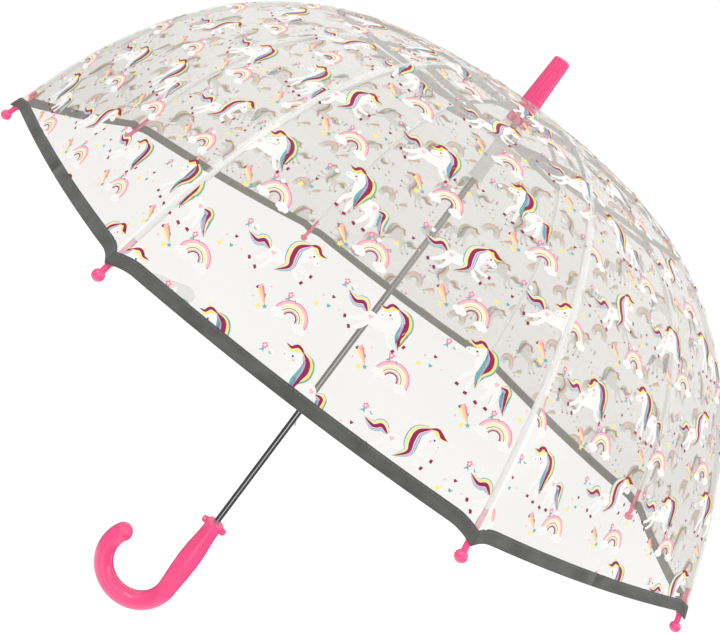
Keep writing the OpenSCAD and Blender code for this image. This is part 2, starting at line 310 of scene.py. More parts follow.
def skin(shader, color, spread, scale, rough, rough_scale, grain, depth, strength, **noise):
    """Noise in a solid's colour and roughness, and a fine grain in its skin."""
    vary(shader, "Base Color", *shades(color, spread), scale, **noise)
    vary(shader, "Roughness", (rough[0],) * 3, (rough[1],) * 3, rough_scale, **noise)
    add_bump(shader, grain, depth * MM, strength)
    return shader.material


def plastic(name, color, roughness, coat=0.0):
    """Moulded plastic: nearly even, with faint flow marks and a very fine skin."""
    shader = new_material(name, color, roughness, Coat_Weight=coat, Coat_Roughness=0.08,
                          Subsurface_Weight=0.08, Subsurface_Radius=(0.004, 0.001, 0.001),
                          Subsurface_Scale=0.3)
    return skin(shader, color, 0.05, 45.0, (roughness * 0.8, roughness * 1.3), 220.0,
                add_noise(shader, 900.0, detail=2.0), 0.02, 0.3)


def steel(name, color, roughness):
    """Drawn metal, with fine lines along its length."""
    shader = new_material(name, color, roughness, Metallic=1.0)
    along = (1, 1, 0.02)
    return skin(shader, color, 0.10, 900.0, (roughness * 0.7, roughness * 1.5), 1200.0,
                add_noise(shader, 1500.0, stretch=along), 0.01, 0.4, stretch=along)


def painted_steel(name, color, roughness):
    shader = new_material(name, color, roughness, Metallic=0.35)
    return skin(shader, color, 0.12, 160.0, (roughness * 0.7, roughness * 1.3), 400.0,
                add_noise(shader, 1100.0), 0.02, 0.3)


def glass_fibre(name, color):
    shader = new_material(name, color, 0.42)
    return skin(shader, color, 0.08, 700.0, (0.34, 0.5), 300.0,
                add_noise(shader, 1300.0), 0.015, 0.4)


def clear_film(name, color, alpha):
    """Soft clear film: a faint milky tint with a painted glow of that tint, and creases and ripples
    that run from crown to hem.
    """
    # Painted glow: the film emits its own tint, in place of light that comes through it from behind
    shader = new_material(name, color, 0.2, Alpha=alpha, IOR=1.5, Specular_IOR_Level=0.6,
                          Coat_Weight=0.8, Coat_Roughness=0.06, Emission_Color=(*color, 1),
                          Emission_Strength=FILM_PAINTED_GLOW)
    along = (1, 0.05, 1)
    creases = add_noise(shader, 42.0, detail=2.0, stretch=along, use_uv=True)
    ripples = add_noise(shader, 7.0, detail=0.0, use_uv=True)
    add_bump(shader, scale_and_add(shader, creases, 0.35, ripples), 2.0 * MM, 0.35)
    return shader.material


def ink(name, color, painted_glow=INK_PAINTED_GLOW):
    """Printed ink: an even colour with a painted glow of that colour, and the fine stipple of its
    screen in the skin.
    """
    # Painted glow: the ink emits its own colour, in place of light that comes through it from
    # behind
    shader = new_material(name, color, 0.5, Specular_IOR_Level=0.3, Emission_Color=(*color, 1),
                          Emission_Strength=painted_glow)
    add_bump(shader, add_noise(shader, 1400.0), 0.01 * MM, 0.3)
    return shader.material


def thread(name, color):
    """Sewing thread, with its twist."""
    shader = new_material(name, color, 0.6, Sheen_Weight=0.2)
    vary(shader, "Base Color", *shades(color, 0.2), 2200.0)
    add_bump(shader, add_noise(shader, 3000.0), 0.05 * MM, 0.5)
    return shader.material


def woven_tape(name, color):
    """Plain woven binding: a fine weave over slow changes of shade."""
    shader = new_material(name, color, 0.7, Sheen_Weight=0.15, Sheen_Roughness=0.4)
    weave = shader.add("ShaderNodeMath", operation="ADD")
    for axis, slot in (("X", 0), ("Y", 1)):
        wave = shader.add("ShaderNodeTexWave", bands_direction=axis, Scale=WEAVE_SCALE,
                          Distortion=1.5, Detail=1.0)
        shader.link(texture_place(shader, (1, 1, 1), use_uv=True), wave.inputs["Vector"])
        shader.link(wave.outputs["Fac"], weave.inputs[slot])
    blotch = add_noise(shader, 150.0, stretch=(0.35, 1, 1), use_uv=True)
    mixed = scale_and_add(shader, weave.outputs["Value"], 0.12, blotch)
    shader.link(ramp(shader, mixed, *shades(color, 0.3), 0.4, 0.85),
                shader.principled.inputs["Base Color"])
    add_bump(shader, mixed, 0.25 * MM, 0.6)
    return shader.material


# ------------ the dome's surface

RIBS = 8
STEP = tau / RIBS
FIRST = STEP / 2
HEM_Z = 0.283
DOME_RISE = 0.248
# The dome's outside as a cubic curve from the crown to the hem, in (radius, height)
DOME = np.array([(0, HEM_Z + DOME_RISE), (0.176, HEM_Z + DOME_RISE),
                 (0.290, HEM_Z + 0.199), (0.360, HEM_Z)])
# The film's bulge between the ribs, from 0 for a flat panel to 1 for a round dome. It fades
# to the hem, which is pulled nearly straight and sags a little
FILM_BULGE = 0.3
HEM_FLAT_FROM = 0.8
HEM_BULGE = 0.06
HEM_SAG = 0.0037
# At each rib the hem is drawn out over the rib's end, this far and over this share of a petal
CORNER_REACH = 5.0 * MM
CORNER_SHARE = 0.13
CORNER_FROM = 0.93
# The film rises over the sleeve of each rib's end, by this far, within this width
SLEEVE_RISE = 1.3 * MM
SLEEVE_WIDE = 6 * MM
SLEEVE_FROM = 0.97
TAPE_W = 0.0095
# Metres along the dome per unit of u, at the hem
HEM_RATE = 3 * float(np.linalg.norm(DOME[3] - DOME[2]))
TAPE_START = 1 - TAPE_W / HEM_RATE
WASHER_R = 0.016
# Places along the dome, from 0 at the crown to 1 at the hem
CROWN_START = 0.031
CROWN_END = 0.09
PIVOT_SHARE = 0.41


def dome_curve(u):
    """The dome's outside at places along it, as (radius, height)."""
    u = np.asarray(u, float)[..., None]
    return ((1 - u) ** 3 * DOME[0] + 3 * u * (1 - u) ** 2 * DOME[1]
            + 3 * u * u * (1 - u) * DOME[2] + u ** 3 * DOME[3])


def dome_heading(u):
    """The direction down the dome towards the hem, in (radius, height)."""
    u = np.asarray(u, float)[..., None]
    v = ((1 - u) ** 2 * (DOME[1] - DOME[0]) + 2 * u * (1 - u) * (DOME[2] - DOME[1])
         + u * u * (DOME[3] - DOME[2]))
    return v / np.linalg.norm(v, axis=-1, keepdims=True)


def rib_angle(k):
    return FIRST + (k - 1) * STEP


def rib_axes(k):
    """Unit vectors out from the shaft and across, at rib k."""
    c, s = cos(rib_angle(k)), sin(rib_angle(k))
    return np.array([c, s, 0]), np.array([-s, c, 0])


def smooth(value, low, high):
    """0 below low, 1 above high, and an S between them."""
    t = np.clip((np.asarray(value, float) - low) / (high - low), 0, 1)
    return t * t * (3 - 2 * t)


def film_points(k, u, side, lift):
    """Points of the film over rib k. side runs from -1 to 1 across, halfway to the next ribs,
    and lift is the height above the dome's outside."""
    u, side = np.broadcast_arrays(np.asarray(u, float), np.asarray(side, float))
    bulge = FILM_BULGE + (HEM_BULGE - FILM_BULGE) * smooth(u, HEM_FLAT_FROM, 1)
    corner = np.clip(1 - np.abs(side) / CORNER_SHARE, 0, 1) ** 2 * smooth(u, CORNER_FROM, 1)
    apart = np.abs(side) * half_width(u) / SLEEVE_WIDE
    lift = lift + SLEEVE_RISE * np.exp(-apart ** 2) * smooth(u, SLEEVE_FROM, 1)
    u = u + corner * CORNER_REACH / HEM_RATE
    along = dome_heading(u)
    at = dome_curve(u) + lift[..., None] * np.stack([-along[..., 1], along[..., 0]], -1)
    share = np.abs(side) / 2
    x = 1 - share + share * cos(STEP)
    y = np.sign(side) * share * sin(STEP)
    out = 1 + bulge * (1 / np.hypot(x, y) - 1)
    c, s = cos(rib_angle(k)), sin(rib_angle(k))
    px, py = at[..., 0] * x * out, at[..., 0] * y * out
    pz = at[..., 1] - HEM_SAG * 4 * share * (1 - share) * u ** 4
    return np.stack([px * c - py * s, px * s + py * c, pz], -1)


def film_normals(k, u, side, half):
    """Outward normals, taken on the given half of the petal so that a rib's crease stays."""
    step = 1e-3
    across = np.where(np.abs(side) < step, half * step, side)
    aside = half * step * 0.5
    du = film_points(k, u + step, across, 0) - film_points(k, u - step, across, 0)
    ds = (film_points(k, u, across + aside, 0) - film_points(k, u, across - aside, 0)) * half
    normal = np.cross(du, ds)
    return normal / np.linalg.norm(normal, axis=-1, keepdims=True)


ARC_U = np.linspace(0, 1, 400)
ARC = np.concatenate([[0], np.cumsum(np.linalg.norm(np.diff(dome_curve(ARC_U), axis=0), axis=1))])
DOME_LENGTH = float(ARC[-1])


def u_at_height(y):
    """The place along the dome at an arc length y up from the hem."""
    return np.interp(DOME_LENGTH - np.asarray(y), ARC, ARC_U)


def half_width(u):
    """Half the width of a petal, which is half a panel's too."""
    return dome_curve(u)[..., 0] * sin(STEP / 2)


# ------------ the canopy's stretches, their fold planes and the ribs they ride with

class Segment:
    """A stretch of the canopy that rides with one body: its body, and the chord of the plane it
    would collapse onto.
    """

    def __init__(self, name, start, end, body, chord=None):
        self.name, self.start, self.end, self.body, self.chord = name, start, end, body, chord


def rib_pin(joint):
    """A hinge's place in rib 1's plane, as (radius, height)."""
    x, y, z = joints[joint]["pos_m"]
    return np.array([math.hypot(x, y), z])


NOTCH = rib_pin("inner_rib_hinge_1")
PIVOT = rib_pin("outer_rib_bend_1")
RIB_END = dome_curve(1.0)
# Radii of the folded inner and outer ribs, at their upper and lower ends, in the closed umbrella
CLOSED_R = {"inner_rib": (7 * MM, 12 * MM), "outer_rib": (12 * MM, 17 * MM)}
# Share of the room up to the neighbouring panel that a folded petal fills
FOLD_CLEAR = 0.97
# Share of a petal's depth that is left when it is folded
KEEP = 0.02
MOST_TILT = radians(60)
# Halving steps in the search for the greatest tilt of a fold's plane
HALVINGS = 30
INNER_CUTS = [CROWN_END, 0.2, 0.3, 0.36, PIVOT_SHARE]
OUTER_CUTS = [PIVOT_SHARE, 0.45, 0.5, 0.57, 0.66, 0.76, 0.85, 0.93, 1.0]
SEGMENTS = [Segment("crown", CROWN_START, CROWN_END, None)]
for body, chord, cuts in (("inner_rib", (NOTCH, PIVOT), INNER_CUTS),
                          ("outer_rib", (PIVOT, RIB_END), OUTER_CUTS)):
    for number, (low, high) in enumerate(zip(cuts, cuts[1:]), 1):
        SEGMENTS.append(Segment(f"{body[:5]}{number}", low, high, body, chord))


def fold_tilt(segment):
    """The greatest tilt of the fold's plane at which no point of the segment passes its
    neighbour's, closed. Also the outward direction square to the chord, and the rib's bow."""
    chord = segment.chord[1] - segment.chord[0]
    length = np.linalg.norm(chord)
    out = np.array([-chord[1], chord[0]]) / length
    radial, side = rib_axes(1)

    def in_chord(points):
        """Points as (across, out from the chord, along the chord)."""
        flat = np.stack([points @ radial, points[..., 2]], -1) - segment.chord[0]
        return points @ side, flat @ out, flat @ chord / length

    u, share = np.meshgrid(np.linspace(segment.start, segment.end, 5), np.linspace(0.1, 1, 8))
    across, outwards, along = in_chord(film_points(1, u, share, 0))
    bow = float(in_chord(film_points(1, (segment.start + segment.end) / 2, 0.0, 0))[1])
    top, bottom = CLOSED_R[segment.body]
    closed = top + (bottom - top) * along / length
    low, high = 0.0, MOST_TILT
    for _ in range(HALVINGS):
        tilt = (low + high) / 2
        c, s = cos(tilt), sin(tilt)
        off = (across * c - (outwards - bow) * s) * (1 - KEEP)
        angle = np.arctan2(across - off * c, closed + outwards + off * s)
        low, high = (tilt, high) if angle.max() < STEP / 2 * FOLD_CLEAR else (low, tilt)
    return low, out, bow


def fold(piece, segment, k, half):
    """Lets a piece of the canopy ride with its rib, and gives it its own copy of its mesh."""
    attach(piece, f"{segment.body}_{k}")
    tilt, out, bow = fold_tilt(segment)
    radial, side = (Vector(axis) for axis in rib_axes(k))
    side *= half
    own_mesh(piece)


def place_canopy_piece(piece, segment, k, half):
    """Lets a piece ride with its rib or, at the crown, bakes its place into its mesh."""
    if segment.body:
        fold(piece, segment, k, half)
    else:
        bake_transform(piece)


def link_mesh(name, mesh, materials):
    piece = new_object(name, mesh)
    for material in materials:
        mesh.materials.append(material)
    return piece


def bmesh_piece(name, bm, material, is_smooth):
    """A piece made from a bmesh, its faces turned outward and shaded smooth where told."""
    bmesh.ops.recalc_face_normals(bm, faces=bm.faces[:])
    mesh = bpy.data.meshes.new(name)
    bm.to_mesh(mesh)
    bm.free()
    for polygon in mesh.polygons:
        polygon.use_smooth = is_smooth(polygon)
    return link_mesh(name, mesh, [material])


def tube_sides(bm, rings):
    """The faces between rings of vertices."""
    for first, second in zip(rings, rings[1:]):
        for i in range(len(first)):
            j = (i + 1) % len(first)
            bm.faces.new([first[i], first[j], second[j], second[i]])


def grid_rim(rows, wide):
    """The border of a grid of vertices, once round, as (row, column)."""
    return ([(0, j) for j in range(wide)] + [(i, wide - 1) for i in range(1, rows)]
            + [(rows - 1, j) for j in range(wide - 2, -1, -1)]
            + [(i, 0) for i in range(rows - 2, 0, -1)])


def set_uv(mesh, place_of):
    """Texture coordinates in metres, from a function of a vertex's number."""
    uv = mesh.uv_layers.new(name="UVMap")
    for corner, place in zip(mesh.loops, uv.data):
        place.uv = place_of(corner.vertex_index)


# ------------ film

FILM_T = 0.3 * MM
# Height of the film's outer face over the dome's outside
FILM_LIFT = -0.15 * MM
# Rows of faces lie this far apart on the dome, and this many columns' edges across a half petal
ROW_STEP = 1 / 44
COLUMNS = 7
SEAM_W = 3.2 * MM
# How far the film runs on under the tape, as a share of the dome
UNDER_TAPE = 0.006
# Texture coordinates of each rib's petal start this much further on, in metres
FILM_UV_STEP = 0.37
TAPE_UV_STEP = 0.3
HALVES = ((1, "left"), (-1, "right"))


def grid_lines(start, end):
    """Places along the dome where the film's rows lie: the two ends, and what falls between."""
    first = math.floor(start / ROW_STEP + 1.25)
    last = math.ceil(end / ROW_STEP - 1.25)
    return np.array([start] + [i * ROW_STEP for i in range(first, last + 1)] + [end])


def sheet_mesh(name, k, half, rows, sides):
    """A closed sheet of film over part of a petal, with the normals of the dome's surface."""
    u, side = np.meshgrid(rows, sides, indexing="ij")
    side = side.copy()
    side[:, 1] = half * np.minimum(SEAM_W / half_width(u[:, 0]), abs(sides[2]) / 2)
    layers = [film_points(k, u, side, lift) for lift in (FILM_LIFT, FILM_LIFT - FILM_T)]
    count = u.size
    wide = len(sides)
    vertices = np.concatenate([layer.reshape(-1, 3) for layer in layers])
    faces = []
    for i in range(len(rows) - 1):
        for j in range(wide - 1):
            a = i * wide + j
            quad = [a, a + wide, a + wide + 1, a + 1][::half]
            faces.append(quad)
            faces.append([count + v for v in reversed(quad)])
    skins = len(faces)
    loop = [i * wide + j for i, j in grid_rim(len(rows), wide)]
    for a, b in zip(loop, loop[1:] + loop[:1]):
        faces.append([a, b, count + b, count + a][::half])
    mesh = bpy.data.meshes.new(name)
    mesh.from_pydata(vertices.tolist(), [], faces)
    # The column next to the rib, on both skins, is the welded seam
    for i in range(0, skins, 2 * (wide - 1)):
        mesh.polygons[i].material_index = mesh.polygons[i + 1].material_index = 1
    normals = film_normals(k, u, side, half).reshape(-1, 3)
    by_vertex = np.concatenate([normals, -normals])
    custom = []
    for polygon in mesh.polygons:
        polygon.use_smooth = True
        for v in polygon.vertices:
            custom.append(by_vertex[v] if polygon.index < skins else polygon.normal)
    mesh.normals_split_custom_set([tuple(n) for n in custom])
    across = (side * half_width(u)).reshape(-1) + k * FILM_UV_STEP
    along = np.interp(u, ARC_U, ARC).reshape(-1)
    set_uv(mesh, lambda v: (across[v % count], along[v % count]))
    return mesh


def half_sides(half):
    """Places across a half petal: the rib, the edge of its seam, and even steps."""
    even = np.linspace(0, 1, COLUMNS)
    return np.concatenate([[0, 0.02], even[1:]]) * half


def make_film(clear, seam):
    """The canopy's film, one piece for each rib, stretch and half. The first inner stretch
    stands for the whole petal of the CAD."""
    for k in range(1, RIBS + 1):
        for segment in SEGMENTS:
            end = min(segment.end, TAPE_START + UNDER_TAPE)
            rows = grid_lines(segment.start, end)
            for half, word in HALVES:
                name = f"film_{segment.name}_{word}_{k}"
                mesh = sheet_mesh(name, k, half, rows, half_sides(half))
                piece = link_mesh(name, mesh, [clear, seam])
                place_canopy_piece(piece, segment, k, half)
                if segment.name == "inner1" and half > 0:
                    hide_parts(f"canopy_film_{k}")


# ------------ print

def curve_between(a, b, c, d, cuts):
    """Points of a smooth curve from b up to c, where a and d are the points before and after."""
    return [0.5 * (2 * b + (c - a) * t + (2 * a - 5 * b + 4 * c - d) * t ** 2
                   + (3 * b - a - 3 * c + d) * t ** 3) for t in np.arange(cuts) / cuts]


def smooth_outline(points, cuts=3):
    """A closed curve through the points, cut into short straight stretches."""
    points = [np.array(p, float) for p in points]
    outline = []
    for i in range(len(points)):
        outline += curve_between(*(points[(i + j) % len(points)] for j in (-1, 0, 1, 2)), cuts)
    return outline


def smooth_line(points, cuts):
    """An open curve through the points, and its left-hand normals."""
    points = [np.array(p, float) for p in points]
    padded = [2 * points[0] - points[1]] + points + [2 * points[-1] - points[-2]]
    line = []
    for four in zip(padded, padded[1:], padded[2:], padded[3:]):
        line += curve_between(*four, cuts)
    line = np.array(line + [points[-1]])
    heading = np.gradient(line, axis=0)
    heading /= np.linalg.norm(heading, axis=1, keepdims=True)
    return line, np.stack([-heading[:, 1], heading[:, 0]], 1)


def strand(points, widths, cuts=3):
    """A band along a curve, with its width at each point."""
    line, normal = smooth_line(points, cuts)
    half = np.interp(np.arange(len(line)) / cuts, np.arange(len(widths)), widths)[:, None] / 2
    return list(line + normal * half) + list((line - normal * half)[::-1])


# The locks of a mane or tail across its width, from its outer edge at -0.5, on white
LOCKS = [("white", -0.5, 0.5), ("teal", -0.5, -0.42), ("yellow", -0.36, -0.2),
         ("maroon", -0.14, 0.2), ("lavender", 0.26, 0.38), ("teal", 0.43, 0.5)]
FORELOCK = [("maroon", -0.5, 0.02), ("yellow", 0.14, 0.5)]


def hair(points, width, locks=LOCKS):
    """A leaf-shaped tuft of hair along a curve, striped lengthwise with its locks."""
    line, normal = smooth_line(points, 4)
    t = np.linspace(0.03, 1, len(line))
    wide = (width * np.sin(pi * t ** 0.85) ** 0.85)[:, None]
    return [(color, list(line + normal * wide * low) + list((line + normal * wide * high)[::-1]))
            for color, low, high in locks]


def polar(x, y, r, a):
    return np.array([x + r * cos(a), y + r * sin(a)])


def disc(x, y, r, corners=10):
    return [polar(x, y, r, a) for a in np.arange(corners) * tau / corners]


def arc_band(x, y, inner, outer, start=4, end=176, cuts=14):
    turn = np.radians(np.linspace(start, end, cuts + 1))
    return [polar(x, y, outer, a) for a in turn] + [polar(x, y, inner, a) for a in turn[::-1]]


def star(x, y, r, points=5, turn=0.3, depth=0.45):
    return [polar(x, y, r * depth if i % 2 else r, turn + i * pi / points)
            for i in range(2 * points)]


def heart(x, y, size):
    top, side, waist = y + 0.45 * size, 0.55 * size, y + 0.1 * size
    return smooth_outline([(x, y + 0.25 * size), (x + side * 0.55, top), (x + side, waist),
                           (x, y - 0.6 * size), (x - side, waist), (x - side * 0.55, top)], 2)


def legs_and_hooves(legs):
    """White legs, each a line of points and a width, with maroon hooves at their ends."""
    shapes = []
    for points, width in legs:
        shapes.append(("white", strand(points, [width, width * 0.75, width * 0.55])))
        end, before = np.array(points[-1], float), np.array(points[-2], float)
        along = (end - before) / np.linalg.norm(end - before)
        shapes.append(("maroon", strand([end, end + along * 2.2], [width * 0.6, width * 0.72], 1)))
    return shapes


def galloping_body():
    """A unicorn's body and tail, galloping to the right, as (ink, outline in mm)."""
    shapes = [("white", smooth_outline([(-14, 3), (-10, 6.5), (0, 5), (9, 7), (13, 3), (11, -3.5),
                                        (2, -4.5), (-8, -4), (-13.5, -2.5)]))]
    shapes += legs_and_hooves([
        ([(10.5, -0.5), (16.5, -4.5), (22, -6)], 4.2), ([(8, -2), (11.5, -9), (16.5, -12.5)], 4.2),
        ([(-12, 0.5), (-18.5, -4.5), (-24.5, -6.5)], 4.4),
        ([(-9, -2), (-13, -9), (-18.5, -12)], 4.4)])
    shapes.append(("blush", heart(-8.8, 2.2, 3.4)))
    return shapes + hair([(-12.5, 4.5), (-18, 9.5), (-24, 7.5), (-32, 12)], 9)


def standing_body():
    """A unicorn's body and tail, standing with its tail on the right."""
    shapes = [("white", smooth_outline([(13, 3), (8, 6.5), (0, 4.5), (-7, 6), (-11.5, 2),
                                        (-10, -3.5), (0, -5.5), (9, -5), (13.5, -2)]))]
    shapes += legs_and_hooves([
        ([(-9, -2), (-12.5, -9), (-12, -16)], 4.4), ([(-5, -3), (-5.5, -10), (-3.5, -17)], 4.4),
        ([(9, -3), (9, -10.5), (7, -17)], 4.6), ([(11.5, -1.5), (15.5, -9), (15, -15.5)], 4.6)])
    shapes.append(("blush", heart(9, 2.4, 3.4)))
    return shapes + hair([(12.5, 3), (18, 3.5), (20.5, -4), (27.5, -12)], -7.5)


def face_dots(eye, cheek, nostril):
    return [("dark", disc(*eye, 0.75)), ("blush", disc(*cheek, 1.0)),
            ("dark", disc(*nostril, 0.4, 6))]


def head_right():
    """A head that looks right, with its mane behind it, for the galloping body."""
    shapes = [
        ("white", smooth_outline([(6, 3), (10.5, 10), (15, 15), (19, 15), (22, 11.5), (27, 6),
                                  (26.2, 3.2), (23, 3.2), (18.5, 5.5), (15, 1.5), (11, -2.5)])),
        ("white", smooth_outline([(16.5, 14.5), (16.8, 18.6), (19.5, 15)], 2)),
        ("yellow", strand([(20.3, 14.2), (26.5, 20.5)], [2.1, 0.3], 1))]
    shapes += hair([(17, 17), (8, 12.5), (5.5, 4), (5, -4), (-5, -10)], 11)
    shapes += hair([(16.5, 16.5), (22, 16.4), (25.5, 12), (31, 11)], -4.4, FORELOCK)
    return shapes + face_dots((21.3, 9.2), (18.6, 7.8), (25.2, 4.8))


def head_left(x):
    """A head that looks left, with its mane on the right, its neck moved right by x."""
    shapes = [
        ("white", smooth_outline([(-5, 3.5), (-7.5, 10), (-11, 15.4), (-15.5, 16), (-18.5, 13),
                                  (-24.5, 9), (-24.8, 6), (-21, 5.2), (-16, 7), (-13, 2),
                                  (-10, -2)])),
        ("white", smooth_outline([(-12.6, 15), (-12.4, 19.4), (-15.6, 15.6)], 2)),
        ("yellow", strand([(-17, 15), (-22.5, 21.5)], [2.1, 0.3], 1))]
    shapes += hair([(-13.5, 17.5), (-6, 14.5), (-2.5, 7), (-4.5, -1.5), (-0.5, -11)], -9.5)
    shapes += hair([(-13, 17), (-19, 17.4), (-22, 13.6), (-27.5, 14)], 4.4, FORELOCK)
    shapes += face_dots((-17.6, 10.4), (-15.4, 8.6), (-22.8, 7.6))
    return [(color, [p + (x, 0) for p in outline]) for color, outline in shapes]


def rainbow():
    """A rainbow between two plain clouds, about 26 mm wide."""
    bands = [("mauve", 5.0, 12.9), ("pink", 12.3, 13.0), ("blush", 10.4, 12.3),
             ("cream", 9.0, 10.4), ("peach", 8.6, 9.0), ("cream", 7.6, 8.6), ("green", 6.9, 7.6),
             ("cream", 5.9, 6.9), ("blush", 5.0, 5.4), ("maroon", 4.2, 5.0)]
    shapes = [(color, arc_band(0, -4, inner, outer)) for color, inner, outer in bands]
    for side in (-1, 1):
        for x, y, r in ((-3.1, -0.6, 2.3), (0, 0.7, 3.0), (3.1, -0.5, 2.4), (0, -1.4, 2.6)):
            shapes.append(("white", disc(side * 9.0 + x, -5.2 + y, r)))
    return shapes


def shooting_star():
    shapes = [("mauve", strand([(-9.5, 1.5), (0, 1), (8, 0)], [6.5, 3.5, 0.6]))]
    for offset, color in ((2.3, "pink"), (0.8, "peach"), (-0.8, "blush"), (-2.3, "yellow")):
        shapes.append((color, strand([(-9.5 + abs(offset), 1.5 + offset), (0, 0.9 + offset * 0.6),
                                      (7.5, 0)], [1.9, 1.4, 0.4])))
    shapes.append(("teal", star(8.5, 0, 2.4)))
    return shapes


def flower():
    shapes = [("teal", strand([(0, -1), (-1.8, -4), (-3.6, -4.6)], [1.2, 1.5, 0.3])),
              ("teal", strand([(0, -1), (0.4, -3.6), (2, -5)], [1.2, 1.4, 0.3]))]
    for i in range(5):
        turn = i * tau / 5 + 0.3
        shapes.append(("pink", disc(*polar(0, 1.6, 2.1, turn), 1.15, 8)))
    shapes.append(("white", disc(0, 1.6, 1.2, 8)))
    shapes.append(("white", star(9, 0.4, 3.0, points=6, depth=0.7)))
    shapes.append(("teal", strand([(6.2, -1.2), (7.8, -3), (9.6, -2.8)], [0.9, 1.3, 0.3])))
    return shapes


def trinkets():
    return [("maroon", heart(0, 9.5, 3.0)), ("teal", heart(1, 0.2, 3.2)),
            ("yellow", star(-8.6, -4.5, 3.2)), ("blush", disc(-8, 5.4, 1.1, 8)),
            ("blush", disc(10.5, 3.2, 0.9, 8))]


# The print repeats over a slanted grid. Each motif has its place, turn and size in the repeat
REPEAT_RIGHT = np.array([70.0, 8.0])
REPEAT_UP = np.array([16.0, 63.0])
MOTIFS = {
    "running": (galloping_body() + head_right(), (0, 0), 20, 0.82),
    "turned": (galloping_body() + head_left(21), (0, -4), 8, 0.82),
    "standing": (standing_body() + head_left(0), (0, 0), -8, 0.86),
    "rainbow": (rainbow(), (25, -24), -3, 0.9),
    "shooting": (shooting_star(), (19, 36), -35, 0.75),
    "flower": (flower(), (-31, 5), 8, 0.62),
    "flower_low": (flower(), (17, -16), 8, 0.62),
    "trinkets": (trinkets(), (-32, -14), 0, 0.7),
    "trinkets_low": (trinkets(), (4, -26), 70, 0.7),
}
UNICORNS = ["running", "turned", "standing"]
SHARED_MOTIFS = [name for name in MOTIFS if name not in UNICORNS]
# Place of one running unicorn in each panel, in mm right of its middle and up from the hem
PANEL_START = {1: (12, 40), 2: (-30, 61), 3: (24, 30), 4: (-8, 52), 5: (-18, 47), 6: (-53, 68),
               7: (-24, 58), 8: (31, 36)}
# Height of the print over the film, and of each shape over the one before, outside and inside
INK_LIFT = 0.12 * MM
INK_STEP = 0.02 * MM
INSIDE_STEP = 0.007 * MM
# The print stops short of the seams, at this share of a panel, and of the crown
SEAM_CLEAR = 0.975
CROWN_CLEAR = 0.004
TOP_CLEAR = 0.006
# How many repeats are tried across and up, and how far out a motif may lie, in mm
REPEATS_ACROSS, REPEATS_UP = range(-5, 6), range(-2, 9)
MOTIF_REACH, MOTIF_LOW, MOTIF_HIGH = 190, -60, 500


def panel_shapes(panel):
    """Every printed shape of a panel, as (ink, layer, outline in mm)."""
    start = np.array(PANEL_START[panel], float)
    shapes = []
    for column in REPEATS_ACROSS:
        for row in REPEATS_UP:
            centre = start + column * REPEAT_RIGHT + row * REPEAT_UP
            if not (abs(centre[0]) < MOTIF_REACH and MOTIF_LOW < centre[1] < MOTIF_HIGH):
                continue
            kind = UNICORNS[(column + 2 * row) % len(UNICORNS)]
            for name in [kind] + SHARED_MOTIFS:
                outlines, offset, degrees, size = MOTIFS[name]
                c, s = cos(radians(degrees)), sin(radians(degrees))
                turn = np.array([[c, s], [-s, c]])
                for layer, (color, outline) in enumerate(outlines):
                    placed = np.array(outline) * size @ turn + centre + offset
                    shapes.append((color, layer, placed))
    return shapes


def panel_print(panel, colors):
    """A panel's print as flat faces in (place across, place along, lift), cut on the grid."""
    bm = bmesh.new()
    for color, layer, outline in panel_shapes(panel):
        y = outline[:, 1] * MM
        if y.max() < TAPE_W or y.min() > DOME_LENGTH - WASHER_R:
            continue
        on_dome = u_at_height(np.clip(y, 0, DOME_LENGTH - TOP_CLEAR))
        # Past the hem, where it is cut off, the print goes on along the dome's curve
        u = on_dome + np.minimum(0, y) * -2
        across = outline[:, 0] * MM / half_width(on_dome)
        if across.min() > 1 or across.max() < -1:
            continue
        # Colours lie on both sides of the white, so they show from inside as well
        lifts = [INK_LIFT + layer * INK_STEP]
        if color != "white":
            lifts.append(INK_LIFT - (layer + 1) * INSIDE_STEP)
        for lift in lifts:
            face = bm.faces.new([bm.verts.new((a, b, lift)) for a, b in zip(across, u)])
            face.material_index = colors.index(color)
    bmesh.ops.triangulate(bm, faces=bm.faces[:])

    def cut(place, normal, clear_outer=False):
        parts = bm.verts[:] + bm.edges[:] + bm.faces[:]
        bmesh.ops.bisect_plane(bm, geom=parts, dist=1e-7, plane_co=place, plane_no=normal,
                               clear_outer=clear_outer)

    cut((SEAM_CLEAR, 0, 0), (1, 0, 0), True)
    cut((-SEAM_CLEAR, 0, 0), (-1, 0, 0), True)
    cut((0, TAPE_START, 0), (0, 1, 0), True)
    cut((0, CROWN_START + CROWN_CLEAR, 0), (0, -1, 0), True)
    for j in range(-COLUMNS + 2, COLUMNS - 1):
        cut((j / (COLUMNS - 1), 0, 0), (1, 0, 0))
    places = sorted({float(round(u, 6)) for s in SEGMENTS for u in grid_lines(s.start, s.end)})
    for u in places[1:-1]:
        cut((0, u, 0), (0, 1, 0))
    return bm


